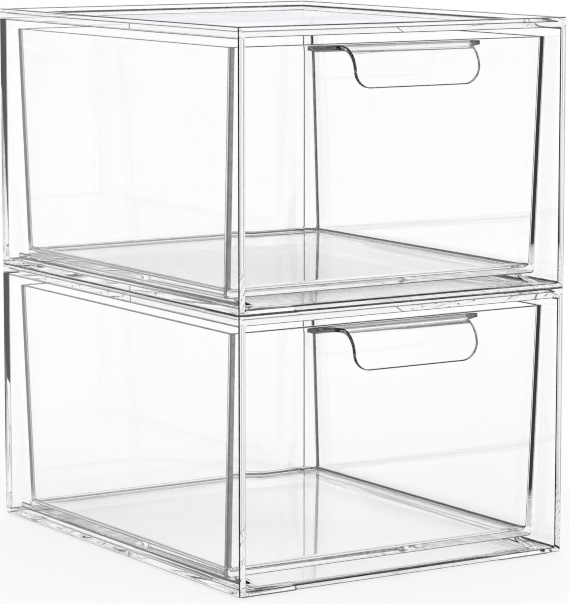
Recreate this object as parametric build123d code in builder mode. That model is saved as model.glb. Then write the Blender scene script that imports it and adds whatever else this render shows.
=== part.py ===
from build123d import *
import os

# Stackable clear drawer organizer: two open-fronted cases, each with one pull-out drawer.
# Millimetres. +Z up, the drawers open towards -Y, origin at the bottom centre of the
# whole stack, feet and pull lips included.

# ---- case moulding ----
case_width = 190.0  # outside, along X
case_depth = 236.6  # outside, along Y
case_height = 134.0  # floor underside to rim top, which is also the stacking pitch
case_wall = 3.8  # side walls
case_back = 3.8  # back wall
case_floor = 2.5
panel_thickness = 2.5  # top panel
rim_height = 2.6  # stacking rim standing above the top panel
rim_wall = 3.8
case_edge_chamfer = 0.5  # all outside edges
mouth_chamfer = 0.4  # round the bay's mouth and the inside of the rim
recess_radius = 0.5  # round the panel, inside the rim
bay_radius = 0.8  # long inside corners of the drawer bay
bay_rear_radius = 0.5  # where the bay meets the back wall

# ---- guide rails on the case floor ----
rail_width = 5.6
rail_height = 3.0
rail_inset = 9.0  # side wall to rail centreline
rail_setback = 8.0  # front plane to the foot of the rail's ramp
rail_ramp = 16.0  # length of the ramp that leads the drawer onto the rail
rail_chamfer = 0.6

# ---- L-shaped corner feet, which nest inside the rim of the unit below ----
foot_height = 1.4
foot_arm = 30.0
foot_width = 5.0
foot_clearance = 0.8  # foot to the inside of the rim

# ---- drawer moulding ----
drawer_headroom = 4.7  # drawer rim to the panel's underside
drawer_glide = 0.2  # drawer base to the guide rails
drawer_side_clearance = 0.5  # at the rim, where the drawer is widest
drawer_setback = 10.8  # case front plane to the drawer's front face at the rim
drawer_back_gap = 11.3  # drawer back to the case's back wall at the rim
drawer_wall = 2.4
drawer_base = 3.0
side_draft = 0.45  # degrees, narrowing towards the base
front_draft = 2.8  # degrees
back_draft = 3.67  # degrees
drawer_corner = 2.0  # upright outside corners
drawer_inner_corner = 1.2
drawer_base_radius = 1.5  # round the outside of the base
drawer_inner_radius = 3.0  # round the inside of the base
drawer_rim_chamfer = 0.4

# ---- pull tongue, curled forwards and down from the drawer's front rim ----
pull_reach = 20.0  # drawer front face to the outer face of the lip
pull_drop = 20.4  # drawer rim to the lip's lower edge
pull_bend = 12.2  # outside radius of the curl
pull_thickness = 2.2
pull_step = 0.6  # tongue's top below the drawer rim
pull_width = 72.0
pull_flare = 14.0  # radius that widens the tongue into the drawer's front
pull_corner = 8.7  # lower corners of the lip
pull_edge_radius = 0.5
pull_root_radius = 1.1  # fillet under the tongue where it leaves the drawer

# ---- levels within one unit, measured from the underside of the case floor ----
panel_top = case_height - rim_height
panel_under = panel_top - panel_thickness
rail_top = case_floor + rail_height
drawer_low = rail_top + drawer_glide
drawer_high = panel_under - drawer_headroom

# ---- plan positions ----
pull_overhang = pull_reach - drawer_setback  # lip beyond the case's front plane
case_front = -(case_depth - pull_overhang) / 2
case_rear = case_front + case_depth
case_middle = (case_front + case_rear) / 2
bay_width = case_width - 2 * case_wall
bay_rear = case_rear - case_back
drawer_front = case_front + drawer_setback
drawer_rear = bay_rear - drawer_back_gap
drawer_width = bay_width - 2 * drawer_side_clearance

# underside of each unit's case floor: the lower unit stands on its feet, the upper on a rim
unit_levels = {"lower": foot_height, "upper": foot_height + case_height}

same = 1e-3  # two coordinates this close are one plane


def edges_at(builder, height, select=Select.ALL):
    """The edges of a part in the making whose middle lies at one height."""
    return builder.edges(select).filter_by_position(Axis.Z, height - same, height + same)


def edges_across(builder, place, select=Select.ALL):
    """The edges of a part in the making whose middle lies at one place along Y."""
    return builder.edges(select).filter_by_position(Axis.Y, place - same, place + same)


def build_case(level):
    """Open-fronted case with its rim, rails and feet; level is its floor's underside."""
    with BuildPart() as case:
        with BuildSketch(Plane.XY.offset(level)):
            with Locations((0, case_middle)):
                Rectangle(case_width, case_depth)
        extrude(amount=case_height)
        chamfer(case.edges(), case_edge_chamfer)

        # recess inside the stacking rim
        with BuildSketch(Plane.XY.offset(level + case_height)):
            with Locations((0, case_middle)):
                Rectangle(case_width - 2 * rim_wall, case_depth - 2 * rim_wall)
        extrude(amount=-rim_height, mode=Mode.SUBTRACT)
        chamfer(edges_at(case, level + case_height, Select.LAST), mouth_chamfer)
        fillet(edges_at(case, level + panel_top), recess_radius)

        # drawer bay, open at the front
        with BuildSketch(Plane.XZ.offset(-case_front)):
            with Locations((0, level + (case_floor + panel_under) / 2)):
                RectangleRounded(bay_width, panel_under - case_floor, bay_radius)
        extrude(amount=case_front - bay_rear, mode=Mode.SUBTRACT)
        bay_mouth = edges_across(case, case_front, Select.LAST)
        fillet(edges_across(case, bay_rear, Select.LAST), bay_rear_radius)
        chamfer(bay_mouth, mouth_chamfer)

        # guide rails, ramped at the front and running into the back wall
        rail_x = bay_width / 2 - rail_inset
        rail_nose = case_front + rail_setback
        rail_rear = bay_rear + case_back / 2
        low, high = level + case_floor, level + rail_top
        for middle in (-rail_x, rail_x):
            with BuildSketch(Plane.YZ.offset(middle)):
                with BuildLine():
                    ramp = Line((rail_nose, low), (rail_nose + rail_ramp, high))
                    Polyline(ramp @ 1, (rail_rear, high), (rail_rear, low), ramp @ 0)
                make_face()
            extrude(amount=rail_width / 2, both=True)
        chamfer(edges_at(case, high).filter_by(Axis.Y), rail_chamfer)

        # corner feet, each an L with its heel towards the corner
        heel_x = case_width / 2 - rim_wall - foot_clearance
        heel_y = case_depth / 2 - rim_wall - foot_clearance
        heels = [(-heel_x, -heel_y), (heel_x, -heel_y), (heel_x, heel_y), (-heel_x, heel_y)]
        with BuildSketch(Plane.XY.offset(level)):
            for quarter, (x, y) in enumerate(heels):
                with Locations(Location((x, case_middle + y, 0), (0, 0, 90 * quarter))):
                    Rectangle(foot_arm, foot_width, align=Align.MIN)
                    Rectangle(foot_width, foot_arm, align=Align.MIN)
        extrude(amount=-foot_height)
    return case


def tray_block(level, inset, low, corner_radius, base_radius):
    """Drafted block from low up to the drawer rim: the drawer's outside, or its cavity."""
    rim_plane = Plane.XY.offset(level + drawer_high)
    with BuildPart() as block:
        with BuildSketch(rim_plane):
            with Locations((0, (drawer_front + drawer_rear) / 2)):
                Rectangle(drawer_width - 2 * inset, drawer_rear - drawer_front - 2 * inset)
        extrude(amount=low - drawer_high)
        draft(block.faces().sort_by(Axis.Y)[0], rim_plane, -front_draft)
        draft(block.faces().sort_by(Axis.Y)[-1], rim_plane, -back_draft)
        draft(block.faces().sort_by(Axis.X)[0], rim_plane, -side_draft)
        draft(block.faces().sort_by(Axis.X)[-1], rim_plane, -side_draft)
        upright = block.edges() - edges_at(block, level + low) - edges_at(block, level + drawer_high)
        fillet(upright, corner_radius)
        fillet(edges_at(block, level + low), base_radius)
    return block


def pull_tongue(level):
    """Sheet that leaves the drawer's front rim, curls over and hangs down as the lip."""
    top = level + drawer_high - pull_step
    root = drawer_front + drawer_wall / 2
    lip_front = drawer_front - pull_reach
    lip_low = level + drawer_high - pull_drop
    half_width = pull_width / 2
    half_root = half_width + pull_flare
    with BuildPart() as tongue:
        # side profile of the curled sheet
        with BuildSketch(Plane.YZ):
            with BuildLine():
                bend_start = lip_front + pull_bend
                Line((root, top), (bend_start, top))
                curl = CenterArc((bend_start, top - pull_bend), pull_bend, 90, 90)
                Line(curl @ 1, (lip_front, lip_low))
                offset(amount=pull_thickness, side=Side.LEFT)
            make_face()
        extrude(amount=half_root, both=True)

        # outline from above, flared where it joins the drawer
        with BuildSketch(Plane.XY.offset(level)):
            with BuildLine():
                Polyline((0, root), (half_root, root), (half_root, drawer_front))
                flare = CenterArc((half_root, drawer_front - pull_flare), pull_flare, 90, 90)
                Polyline(flare @ 1, (half_width, lip_front), (0, lip_front))
                mirror(about=Plane.YZ)
            make_face()
        extrude(amount=case_height, mode=Mode.INTERSECT)

        # rounded lower corners, then the loose edges all round
        fillet(tongue.edges().filter_by(Axis.Y).group_by(Axis.Z)[0], pull_corner)
        loose = tongue.edges().filter_by_position(Axis.Y, lip_front - same, drawer_front - same)
        fillet(loose, pull_edge_radius)
    return tongue


def build_drawer(level):
    """Drafted tray with its pull tongue; level is the underside of its case's floor."""
    outside = tray_block(level, 0.0, drawer_low, drawer_corner, drawer_base_radius)
    cavity_low = drawer_low + drawer_base
    cavity = tray_block(level, drawer_wall, cavity_low, drawer_inner_corner, drawer_inner_radius)
    tongue = pull_tongue(level)
    with BuildPart() as drawer:
        add(outside.part)
        add(cavity.part, mode=Mode.SUBTRACT)
        chamfer(edges_at(drawer, level + drawer_high), drawer_rim_chamfer)
        add(tongue.part)
        under_tongue = edges_at(drawer, level + drawer_high - pull_step - pull_thickness)
        root_line = under_tongue.filter_by_position(Axis.Y, drawer_front, drawer_front + drawer_wall)
        fillet(root_line, pull_root_radius)
    return drawer


os.makedirs("parts", exist_ok=True)
for unit, level in unit_levels.items():
    case = build_case(level)
    case.part.label = f"{unit}_case"
    export_step(case.part, f"parts/{unit}_case.step")

    drawer = build_drawer(level)
    drawer.part.label = f"{unit}_drawer"
    export_step(drawer.part, f"parts/{unit}_drawer.step")
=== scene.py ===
import math

import bmesh
import bpy
from bpy.props import FloatProperty, FloatVectorProperty, IntProperty, PointerProperty
from mathutils import Euler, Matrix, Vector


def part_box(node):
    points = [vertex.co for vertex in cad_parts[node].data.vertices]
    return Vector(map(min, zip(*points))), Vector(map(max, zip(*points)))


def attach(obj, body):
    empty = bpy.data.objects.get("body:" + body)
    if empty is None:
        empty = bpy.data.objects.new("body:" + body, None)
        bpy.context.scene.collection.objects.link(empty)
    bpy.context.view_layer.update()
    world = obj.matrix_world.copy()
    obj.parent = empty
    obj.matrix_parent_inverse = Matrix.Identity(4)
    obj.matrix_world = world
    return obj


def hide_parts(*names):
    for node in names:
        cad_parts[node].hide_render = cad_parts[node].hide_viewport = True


bl_info = {
    "name": "Clear Drawer Organizer",
    "version": (1, 0, 0),
    "blender": (4, 5, 0),
    "location": "View3D > Sidebar > Organizer",
    "description": "Finishes a stack of clear plastic drawer units and sets up its studio",
    "category": "Object",
}

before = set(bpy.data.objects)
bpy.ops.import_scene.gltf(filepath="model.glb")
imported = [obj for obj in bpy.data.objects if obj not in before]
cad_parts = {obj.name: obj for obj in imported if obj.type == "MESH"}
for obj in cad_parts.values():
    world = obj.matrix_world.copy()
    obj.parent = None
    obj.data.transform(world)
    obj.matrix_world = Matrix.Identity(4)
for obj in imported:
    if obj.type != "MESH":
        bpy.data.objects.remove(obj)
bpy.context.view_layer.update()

WHITE = (1.0, 1.0, 1.0)
TINY = 1e-9  # keeps a division from dividing by nothing
WELD = 1e-6  # metres; corners of the loose triangles this close are one
SAME_LEVEL = 1e-5  # metres; heights this close are one
FLAT_COSINE = 0.99999  # faces whose normals agree better than this are one flat patch
SHARP_TURN = math.radians(35)  # edges that turn more than this stay sharp
LINE_FADE = math.radians(2)  # turn over which a round's painted shade line fades out
SHEET_SIDES = 0.45  # share of a strip's outline that tight rounds take on a sheet's edge

# noise values where a pattern begins and where it is full
STREAK_SPAN = (0.4, 0.7)
MOTTLE_SPAN = (0.35, 0.65)
HAZE_SPAN = (0.58, 0.75)
MOTTLE_LOW = 0.97  # share of the painted edge shade in the lightest mottles

SENSOR_WIDTH = 36.0  # millimetres
FLOOR_HALF = 6.0  # metres, middle to side
FLOOR_LEVEL = -0.0001  # metres, just clear of the feet


# ---------------------------------------------------------------- sizes and colours

class PlasticSettings(bpy.types.PropertyGroup):
    """The clear plastic that every moulding is made of."""

    tint: FloatVectorProperty(
        name="Tint",
        description="Colour that white light takes on in one pass through a wall",
        subtype="COLOR",
        min=0.0,
        max=1.0,
        default=(0.998, 0.998, 1.0),
    )
    tint_streaks: FloatVectorProperty(
        name="Tint Streaks",
        description="Colour of the faint broad streaks that the plastic's flow leaves in a wall",
        subtype="COLOR",
        min=0.0,
        max=1.0,
        default=(0.991, 0.991, 0.998),
    )
    refraction: FloatProperty(
        name="Refractive Index",
        description="Refractive index of the clear plastic",
        default=1.49,
        min=1.0,
        max=2.0,
    )
    body_colour: FloatVectorProperty(
        name="Body Colour",
        description="Colour that long ways through the plastic tend to",
        subtype="COLOR",
        min=0.0,
        max=1.0,
        default=(0.30, 0.30, 0.36),
    )
    absorption: FloatProperty(
        name="Absorption",
        description="How strongly long ways through the plastic are coloured, per metre",
        default=0.4,
        min=0.0,
    )
    streaks_per_metre: FloatProperty(
        name="Streaks per Metre",
        description="How densely the flow streaks follow each other",
        default=9.0,
        min=0.0,
    )
    haze: FloatProperty(
        name="Handling Haze",
        description="Roughness of the faint patches that handling leaves on the polish",
        default=0.02,
        min=0.0,
        max=0.3,
    )
    haze_per_metre: FloatProperty(
        name="Haze Patches per Metre",
        description="How densely the patches of haze follow each other",
        default=45.0,
        min=0.0,
    )
    ripple: FloatProperty(
        name="Ripple",
        description="Depth of the shallow waves in the moulded surfaces",
        unit="LENGTH",
        default=0.000006,
        min=0.0,
    )
    ripples_per_metre: FloatProperty(
        name="Ripples per Metre",
        description="How densely the shallow waves follow each other",
        default=22.0,
        min=0.0,
    )
    # painted shade: this dark colour is painted on tight rounds, narrow strips and the middles
    # of wider rounds, standing in for the dark edges that clear plastic shows from what it
    # refracts
    painted_shade_colour: FloatVectorProperty(
        name="Painted Shade Colour",
        description="Colour that light takes on in the dark lines along the edges",
        subtype="COLOR",
        min=0.0,
        max=1.0,
        default=(0.002, 0.002, 0.003),
    )
    # the mottles vary the painted shade along the edges a little
    mottles_per_metre: FloatProperty(
        name="Mottles per Metre",
        description="How densely the mottles in the edge colour follow each other",
        default=500.0,
        min=0.0,
    )
    # painted shade too: the dark edge lines mirror less than the rest of the polish, through the
    # specular tint
    shade_line_shine: FloatProperty(
        name="Shade Line Shine",
        description="Share of the polish's mirroring that the dark lines keep",
        subtype="FACTOR",
        default=0.15,
        min=0.0,
        max=1.0,
    )
    # the round sizes below choose where dark shade is painted along the edges
    tight_round: FloatProperty(
        name="Tight Round",
        description="Rounds of this radius or less are edges, in the full edge colour",
        unit="LENGTH",
        default=0.00125,
        min=0.0,
    )
    wide_round: FloatProperty(
        name="Wide Round",
        description="Rounds of this radius or more only have a line along their middle",
        unit="LENGTH",
        default=0.0014,
        min=0.0,
    )
    open_round: FloatProperty(
        name="Open Round",
        description="Rounds of this radius or more are as clear as the walls",
        unit="LENGTH",
        default=0.0038,
        min=0.0,
    )
    round_line: FloatProperty(
        name="Round Line",
        description="Turn to each side of a wide round's middle that its dark line takes up",
        unit="ROTATION",
        default=math.radians(11.0),
        min=0.0,
    )
    sheet_edge: FloatProperty(
        name="Sheet Edge",
        description="Strips between two tight rounds that are narrower than this are edges too",
        unit="LENGTH",
        default=0.0013,
        min=0.0,
    )
    stack_film: FloatProperty(
        name="Stack Film",
        description="Air left between a rim and the unit that stands on it",
        unit="LENGTH",
        default=0.00005,
        min=0.0,
    )


class StudioSettings(bpy.types.PropertyGroup):
    """The floor, the light and the camera."""

    wall_colour: FloatVectorProperty(
        name="Wall Colour",
        description="Colour of the studio wall that the plastic mirrors near the horizon",
        subtype="COLOR",
        min=0.0,
        max=1.0,
        default=(0.94, 0.945, 0.98),
    )
    wall_height: FloatProperty(
        name="Wall Height",
        description="How far up the mirrored wall fades into the white ceiling",
        unit="ROTATION",
        default=math.radians(35.0),
    )
    floor_colour: FloatVectorProperty(
        name="Floor Colour",
        description="Colour of the floor where light falls on it",
        subtype="COLOR",
        min=0.0,
        max=1.0,
        default=(0.22, 0.22, 0.22),
    )
    floor_glow: FloatProperty(
        name="Floor Glow",
        description="Light that the floor gives off by itself",
        default=0.78,
        min=0.0,
    )
    light_bounces: IntProperty(
        name="Light Bounces",
        description="How many surfaces a way of light may meet before it counts as dark",
        default=32,
        min=1,
    )
    line_sharpness: FloatProperty(
        name="Line Sharpness",
        description="Width of the pixel filter",
        subtype="PIXEL",
        default=1.1,
        min=0.5,
    )
    camera_place: FloatVectorProperty(
        name="Camera Place",
        description="Where the camera stands",
        subtype="XYZ",
        unit="LENGTH",
        default=(-0.8457, -1.3255, 0.3389),
    )
    camera_turn: FloatProperty(
        name="Camera Turn",
        description="How far the camera looks round towards +X from straight at the fronts",
        unit="ROTATION",
        default=math.radians(32.63),
    )
    camera_dip: FloatProperty(
        name="Camera Dip",
        description="How far the camera looks down",
        unit="ROTATION",
        default=math.radians(7.86),
    )
    focal_length: FloatProperty(
        name="Focal Length",
        description="Lens on a 36 mm sensor, in millimetres",
        default=184.8,
        min=1.0,
    )


# ---------------------------------------------------------------- edges and their painted shade lines

def flat_patches(mesh):
    """Groups a bmesh's faces into flat patches. Returns one list of faces per patch."""
    patches = []
    seen = set()
    for start in mesh.faces:
        if start in seen:
            continue
        seen.add(start)
        patch = [start]
        for face in patch:
            for edge in face.edges:
                for other in edge.link_faces:
                    flat = start.normal.dot(other.normal) > FLAT_COSINE
                    if flat and other not in seen:
                        seen.add(other)
                        patch.append(other)
        patches.append(patch)
    return patches


def mark_shade_lines(mesh, settings):
    """Stores edge_shade_amount and round_shade_amount on each face.

    The first is 1 in tight rounds and the strips between them, which are painted dark as shade;
    the second is 1 in wider rounds, which get a painted shade line along their middle. A patch's
    width over its mean turn to its neighbours is its round's radius.
    """
    layer = mesh.faces.layers.float.new("edge_shade_amount")
    rounds = mesh.faces.layers.float.new("round_shade_amount")
    span = max(settings.wide_round - settings.tight_round, TINY)
    strips = []
    for patch in flat_patches(mesh):
        inside = set(patch)
        area = sum(face.calc_area() for face in patch)
        rim = []
        for face in patch:
            for edge in face.edges:
                for other in edge.link_faces:
                    if other not in inside:
                        turn = face.normal.angle(other.normal)
                        rim.append((edge.calc_length(), turn, other))
        around = max(sum(length for length, turn, other in rim), TINY)
        width = 2.0 * area / around
        mean_turn = sum(length * turn for length, turn, other in rim) / around
        radius = width / max(mean_turn, TINY)
        tone = min(max((settings.wide_round - radius) / span, 0.0), 1.0)
        for face in patch:
            face[layer] = tone
            face[rounds] = float(radius < settings.open_round)
        if tone == 0.0 and width < settings.sheet_edge:
            strips.append((patch, around, rim))
    for patch, around, rim in strips:
        beside = sum(length for length, turn, other in rim if other[layer] > 0.5)
        if beside > SHEET_SIDES * around:
            for face in patch:
                face[layer] = 1.0


# ---------------------------------------------------------------- plastic

def add_noise(tree, place, scale, detail):
    """Noise on a place socket. Returns its factor socket."""
    noise = tree.nodes.new("ShaderNodeTexNoise")
    noise.inputs["Scale"].default_value = scale
    noise.inputs["Detail"].default_value = detail
    tree.links.new(place, noise.inputs["Vector"])
    return noise.outputs["Fac"]


def add_range(tree, value, span, low=0.0, high=1.0):
    """A value socket whose span is brought to low..high and clamped there."""
    spread = tree.nodes.new("ShaderNodeMapRange")
    spread.inputs["From Min"].default_value, spread.inputs["From Max"].default_value = span
    spread.inputs["To Min"].default_value = low
    spread.inputs["To Max"].default_value = high
    tree.links.new(value, spread.inputs["Value"])
    return spread.outputs["Result"]


def add_mix(tree, factor, first, second):
    """A colour between two, each a colour or a socket."""
    mix = tree.nodes.new("ShaderNodeMix")
    mix.data_type = "RGBA"
    tree.links.new(factor, mix.inputs["Factor"])
    # the Mix node has an A, a B and a Result of each type, and the colour ones are these
    colour_a, colour_b, colour_result = mix.inputs[6], mix.inputs[7], mix.outputs[2]
    for socket, colour in ((colour_a, first), (colour_b, second)):
        if isinstance(colour, bpy.types.NodeSocket):
            tree.links.new(colour, socket)
        else:
            socket.default_value = (*colour, 1.0)
    return colour_result


def add_math(tree, operation, first, second):
    """One of the Math node's operations on two sockets."""
    math_node = tree.nodes.new("ShaderNodeMath")
    math_node.operation = operation
    tree.links.new(first, math_node.inputs[0])
    tree.links.new(second, math_node.inputs[1])
    return math_node.outputs[0]


def add_round_shade_lines(tree, settings):
    """A painted shade line along the middle of each wide round, where the surface faces two ways
    equally.
    """
    size = tree.nodes.new("ShaderNodeVectorMath")
    size.operation = "ABSOLUTE"
    tree.links.new(tree.nodes.new("ShaderNodeTexCoord").outputs["Normal"], size.inputs[0])
    part = tree.nodes.new("ShaderNodeSeparateXYZ")
    tree.links.new(size.outputs[0], part.inputs[0])
    x, y, z = part.outputs
    less = add_math(tree, "MINIMUM", x, y)
    more = add_math(tree, "MAXIMUM", x, y)
    second = add_math(tree, "MAXIMUM", less, add_math(tree, "MINIMUM", more, z))
    start = math.radians(45) - settings.round_line
    line = add_range(tree, second, (math.sin(start - LINE_FADE), math.sin(start + LINE_FADE)))
    rounds = tree.nodes.new("ShaderNodeAttribute")
    rounds.attribute_name = "round_shade_amount"
    return add_math(tree, "MULTIPLY", line, rounds.outputs["Fac"])


def clear_plastic(name, settings):
    """Polished clear plastic with flow streaks, shallow ripple, haze, and dark shade painted
    along the edges.
    """
    material = bpy.data.materials.new(name)
    material.use_nodes = True
    tree = material.node_tree
    tree.nodes.clear()
    out = tree.nodes.new("ShaderNodeOutputMaterial")
    plastic = tree.nodes.new("ShaderNodeBsdfPrincipled")
    plastic.inputs["IOR"].default_value = settings.refraction
    plastic.inputs["Transmission Weight"].default_value = 1.0
    tree.links.new(plastic.outputs["BSDF"], out.inputs["Surface"])
    place = tree.nodes.new("ShaderNodeTexCoord").outputs["Object"]

    # broad flow streaks in the body, then painted shade over them along the edges, a little
    # mottled
    streaks = add_noise(tree, place, settings.streaks_per_metre, 2.0)
    streaks = add_range(tree, streaks, STREAK_SPAN)
    body = add_mix(tree, streaks, settings.tint, settings.tint_streaks)
    edge = tree.nodes.new("ShaderNodeAttribute")
    edge.attribute_name = "edge_shade_amount"
    mottle = add_noise(tree, place, settings.mottles_per_metre, 2.0)
    mottle = add_range(tree, mottle, MOTTLE_SPAN, low=MOTTLE_LOW)
    lines = add_math(tree, "MAXIMUM", edge.outputs["Fac"], add_round_shade_lines(tree, settings))
    shade_line_share = add_math(tree, "MULTIPLY", lines, mottle)
    colour = add_mix(tree, shade_line_share, body, settings.painted_shade_colour)
    tree.links.new(colour, plastic.inputs["Base Color"])
    # painted shade: the edge lines mirror less, through the specular tint
    shine = add_mix(tree, shade_line_share, WHITE, (settings.shade_line_shine,) * 3)
    tree.links.new(shine, plastic.inputs["Specular Tint"])

    # patches of haze on the polish
    haze = add_noise(tree, place, settings.haze_per_metre, 5.0)
    haze = add_range(tree, haze, HAZE_SPAN, high=settings.haze)
    tree.links.new(haze, plastic.inputs["Roughness"])

    # shallow waves in the surface
    ripple = tree.nodes.new("ShaderNodeBump")
    ripple.inputs["Distance"].default_value = settings.ripple
    waves = add_noise(tree, place, settings.ripples_per_metre, 1.0)
    tree.links.new(waves, ripple.inputs["Height"])
    tree.links.new(ripple.outputs["Normal"], plastic.inputs["Normal"])

    # the body's own colour, which shows on long ways through it
    depth = tree.nodes.new("ShaderNodeVolumeAbsorption")
    depth.inputs["Color"].default_value = (*settings.body_colour, 1.0)
    depth.inputs["Density"].default_value = settings.absorption
    tree.links.new(depth.outputs["Volume"], out.inputs["Volume"])
    return material


def finished_copy(node, material, settings):
    """Stands a joined-up copy in for a CAD node, with flat faces true and round ones smooth."""
    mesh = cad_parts[node].data.copy()
    mesh.name = node + "_clear"
    joined = bmesh.new()
    joined.from_mesh(mesh)
    bmesh.ops.remove_doubles(joined, verts=joined.verts, dist=WELD)
    if node.startswith("upper"):
        rim_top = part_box("lower_case")[1][2]
        for vert in joined.verts:
            if abs(vert.co.z - rim_top) < SAME_LEVEL:
                vert.co.z += settings.stack_film
    joined.normal_update()
    mark_shade_lines(joined, settings)
    for face in joined.faces:
        face.smooth = True
    joined.to_mesh(mesh)
    joined.free()
    mesh.materials.clear()
    mesh.materials.append(material)
    mesh.set_sharp_from_angle(angle=SHARP_TURN)
    piece = bpy.data.objects.new(node + "_clear", mesh)
    bpy.context.scene.collection.objects.link(piece)
    weigh = piece.modifiers.new("flat_faces_rule", "WEIGHTED_NORMAL")
    weigh.keep_sharp = True
    weigh.weight = 100
    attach(piece, node)
    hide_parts(node)


def finish_nodes(ending, slot, settings):
    """Finishes every CAD node whose name has this ending."""
    nodes = [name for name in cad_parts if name.endswith(ending)]
    if not nodes:
        raise RuntimeError(f"the frame has no node named *{ending}")
    material = clear_plastic(slot, settings)
    for node in nodes:
        finished_copy(node, material, settings)


class ORGANIZER_OT_cases(bpy.types.Operator):
    """Finish the open-fronted cases in clear plastic"""

    bl_idname = "organizer.cases"
    bl_label = "Finish Cases"

    def execute(self, context):
        finish_nodes("_case", "case_clear", context.scene.organizer_plastic)
        return {"FINISHED"}


class ORGANIZER_OT_drawers(bpy.types.Operator):
    """Finish the drawers and their pulls in clear plastic"""

    bl_idname = "organizer.drawers"
    bl_label = "Finish Drawers"

    def execute(self, context):
        finish_nodes("_drawer", "drawer_clear", context.scene.organizer_plastic)
        return {"FINISHED"}


# ---------------------------------------------------------------- studio

def studio_world(settings):
    """White all round, but mirrored as a pale wall that fades up into the ceiling."""
    world = bpy.data.worlds.new("studio")
    bpy.context.scene.world = world
    world.use_nodes = True
    tree = world.node_tree
    background = tree.nodes["Background"]
    background.inputs["Strength"].default_value = 1.0
    upward = tree.nodes.new("ShaderNodeSeparateXYZ")
    direction = tree.nodes.new("ShaderNodeTexCoord").outputs["Generated"]
    tree.links.new(direction, upward.inputs[0])
    fade = add_range(tree, upward.outputs["Z"], (0.0, math.sin(settings.wall_height)))
    room = add_mix(tree, fade, settings.wall_colour, WHITE)
    way = tree.nodes.new("ShaderNodeLightPath")
    white = way.outputs["Is Camera Ray"]
    for kind in ("Is Transmission Ray", "Is Diffuse Ray"):
        white = add_math(tree, "MAXIMUM", white, way.outputs[kind])
    tree.links.new(add_mix(tree, white, room, WHITE), background.inputs["Color"])


def studio_floor(settings):
    """A pale floor just under the feet, which keeps a soft shadow."""
    mesh = bpy.data.meshes.new("floor")
    sides = ((-1, -1), (1, -1), (1, 1), (-1, 1))
    corners = [(x * FLOOR_HALF, y * FLOOR_HALF, FLOOR_LEVEL) for x, y in sides]
    mesh.from_pydata(corners, [], [(0, 1, 2, 3)])
    floor = bpy.data.objects.new("floor", mesh)
    bpy.context.scene.collection.objects.link(floor)
    material = bpy.data.materials.new("floor")
    material.use_nodes = True
    tree = material.node_tree
    tree.nodes.clear()
    out = tree.nodes.new("ShaderNodeOutputMaterial")
    diffuse = tree.nodes.new("ShaderNodeBsdfDiffuse")
    diffuse.inputs["Color"].default_value = (*settings.floor_colour, 1.0)
    glow = tree.nodes.new("ShaderNodeEmission")
    glow.inputs["Strength"].default_value = settings.floor_glow
    both = tree.nodes.new("ShaderNodeAddShader")
    tree.links.new(diffuse.outputs[0], both.inputs[0])
    tree.links.new(glow.outputs[0], both.inputs[1])
    tree.links.new(both.outputs[0], out.inputs["Surface"])
    mesh.materials.append(material)


def studio_camera(settings):
    """The camera at the photograph's angle."""
    data = bpy.data.cameras.new("camera")
    data.sensor_width = SENSOR_WIDTH
    data.lens = settings.focal_length
    camera = bpy.data.objects.new("camera", data)
    camera.location = settings.camera_place
    looking_level = math.pi / 2
    tilt = looking_level - settings.camera_dip
    camera.rotation_euler = Euler((tilt, 0.0, -settings.camera_turn))
    bpy.context.scene.collection.objects.link(camera)
    bpy.context.scene.camera = camera


class ORGANIZER_OT_studio(bpy.types.Operator):
    """Set up the floor, the light and the camera"""

    bl_idname = "organizer.studio"
    bl_label = "Set Up Studio"

    def execute(self, context):
        scene = context.scene
        settings = scene.organizer_studio
        scene.view_settings.view_transform = "Standard"
        scene.cycles.max_bounces = settings.light_bounces
        scene.cycles.glossy_bounces = settings.light_bounces
        scene.cycles.transmission_bounces = settings.light_bounces
        scene.cycles.filter_width = settings.line_sharpness
        studio_world(settings)
        studio_floor(settings)
        studio_camera(settings)
        return {"FINISHED"}


class ORGANIZER_PT_panel(bpy.types.Panel):
    """Lists the settings and the steps that finish the organizer"""

    bl_label = "Drawer Organizer"
    bl_idname = "ORGANIZER_PT_panel"
    bl_space_type = "VIEW_3D"
    bl_region_type = "UI"
    bl_category = "Organizer"

    def draw(self, context):
        for step in STEPS:
            self.layout.operator(step.bl_idname)
        for settings in (context.scene.organizer_plastic, context.scene.organizer_studio):
            box = self.layout.box()
            for name in settings.__annotations__:
                box.prop(settings, name)


STEPS = (ORGANIZER_OT_studio, ORGANIZER_OT_cases, ORGANIZER_OT_drawers)
CLASSES = (PlasticSettings, StudioSettings, *STEPS, ORGANIZER_PT_panel)


def register():
    for cls in CLASSES:
        bpy.utils.register_class(cls)
    bpy.types.Scene.organizer_plastic = PointerProperty(type=PlasticSettings)
    bpy.types.Scene.organizer_studio = PointerProperty(type=StudioSettings)


def unregister():
    del bpy.types.Scene.organizer_studio
    del bpy.types.Scene.organizer_plastic
    for cls in reversed(CLASSES):
        bpy.utils.unregister_class(cls)


def main():
    register()
    bpy.ops.organizer.studio()
    bpy.ops.organizer.cases()
    bpy.ops.organizer.drawers()


if __name__ == "__main__":
    main()
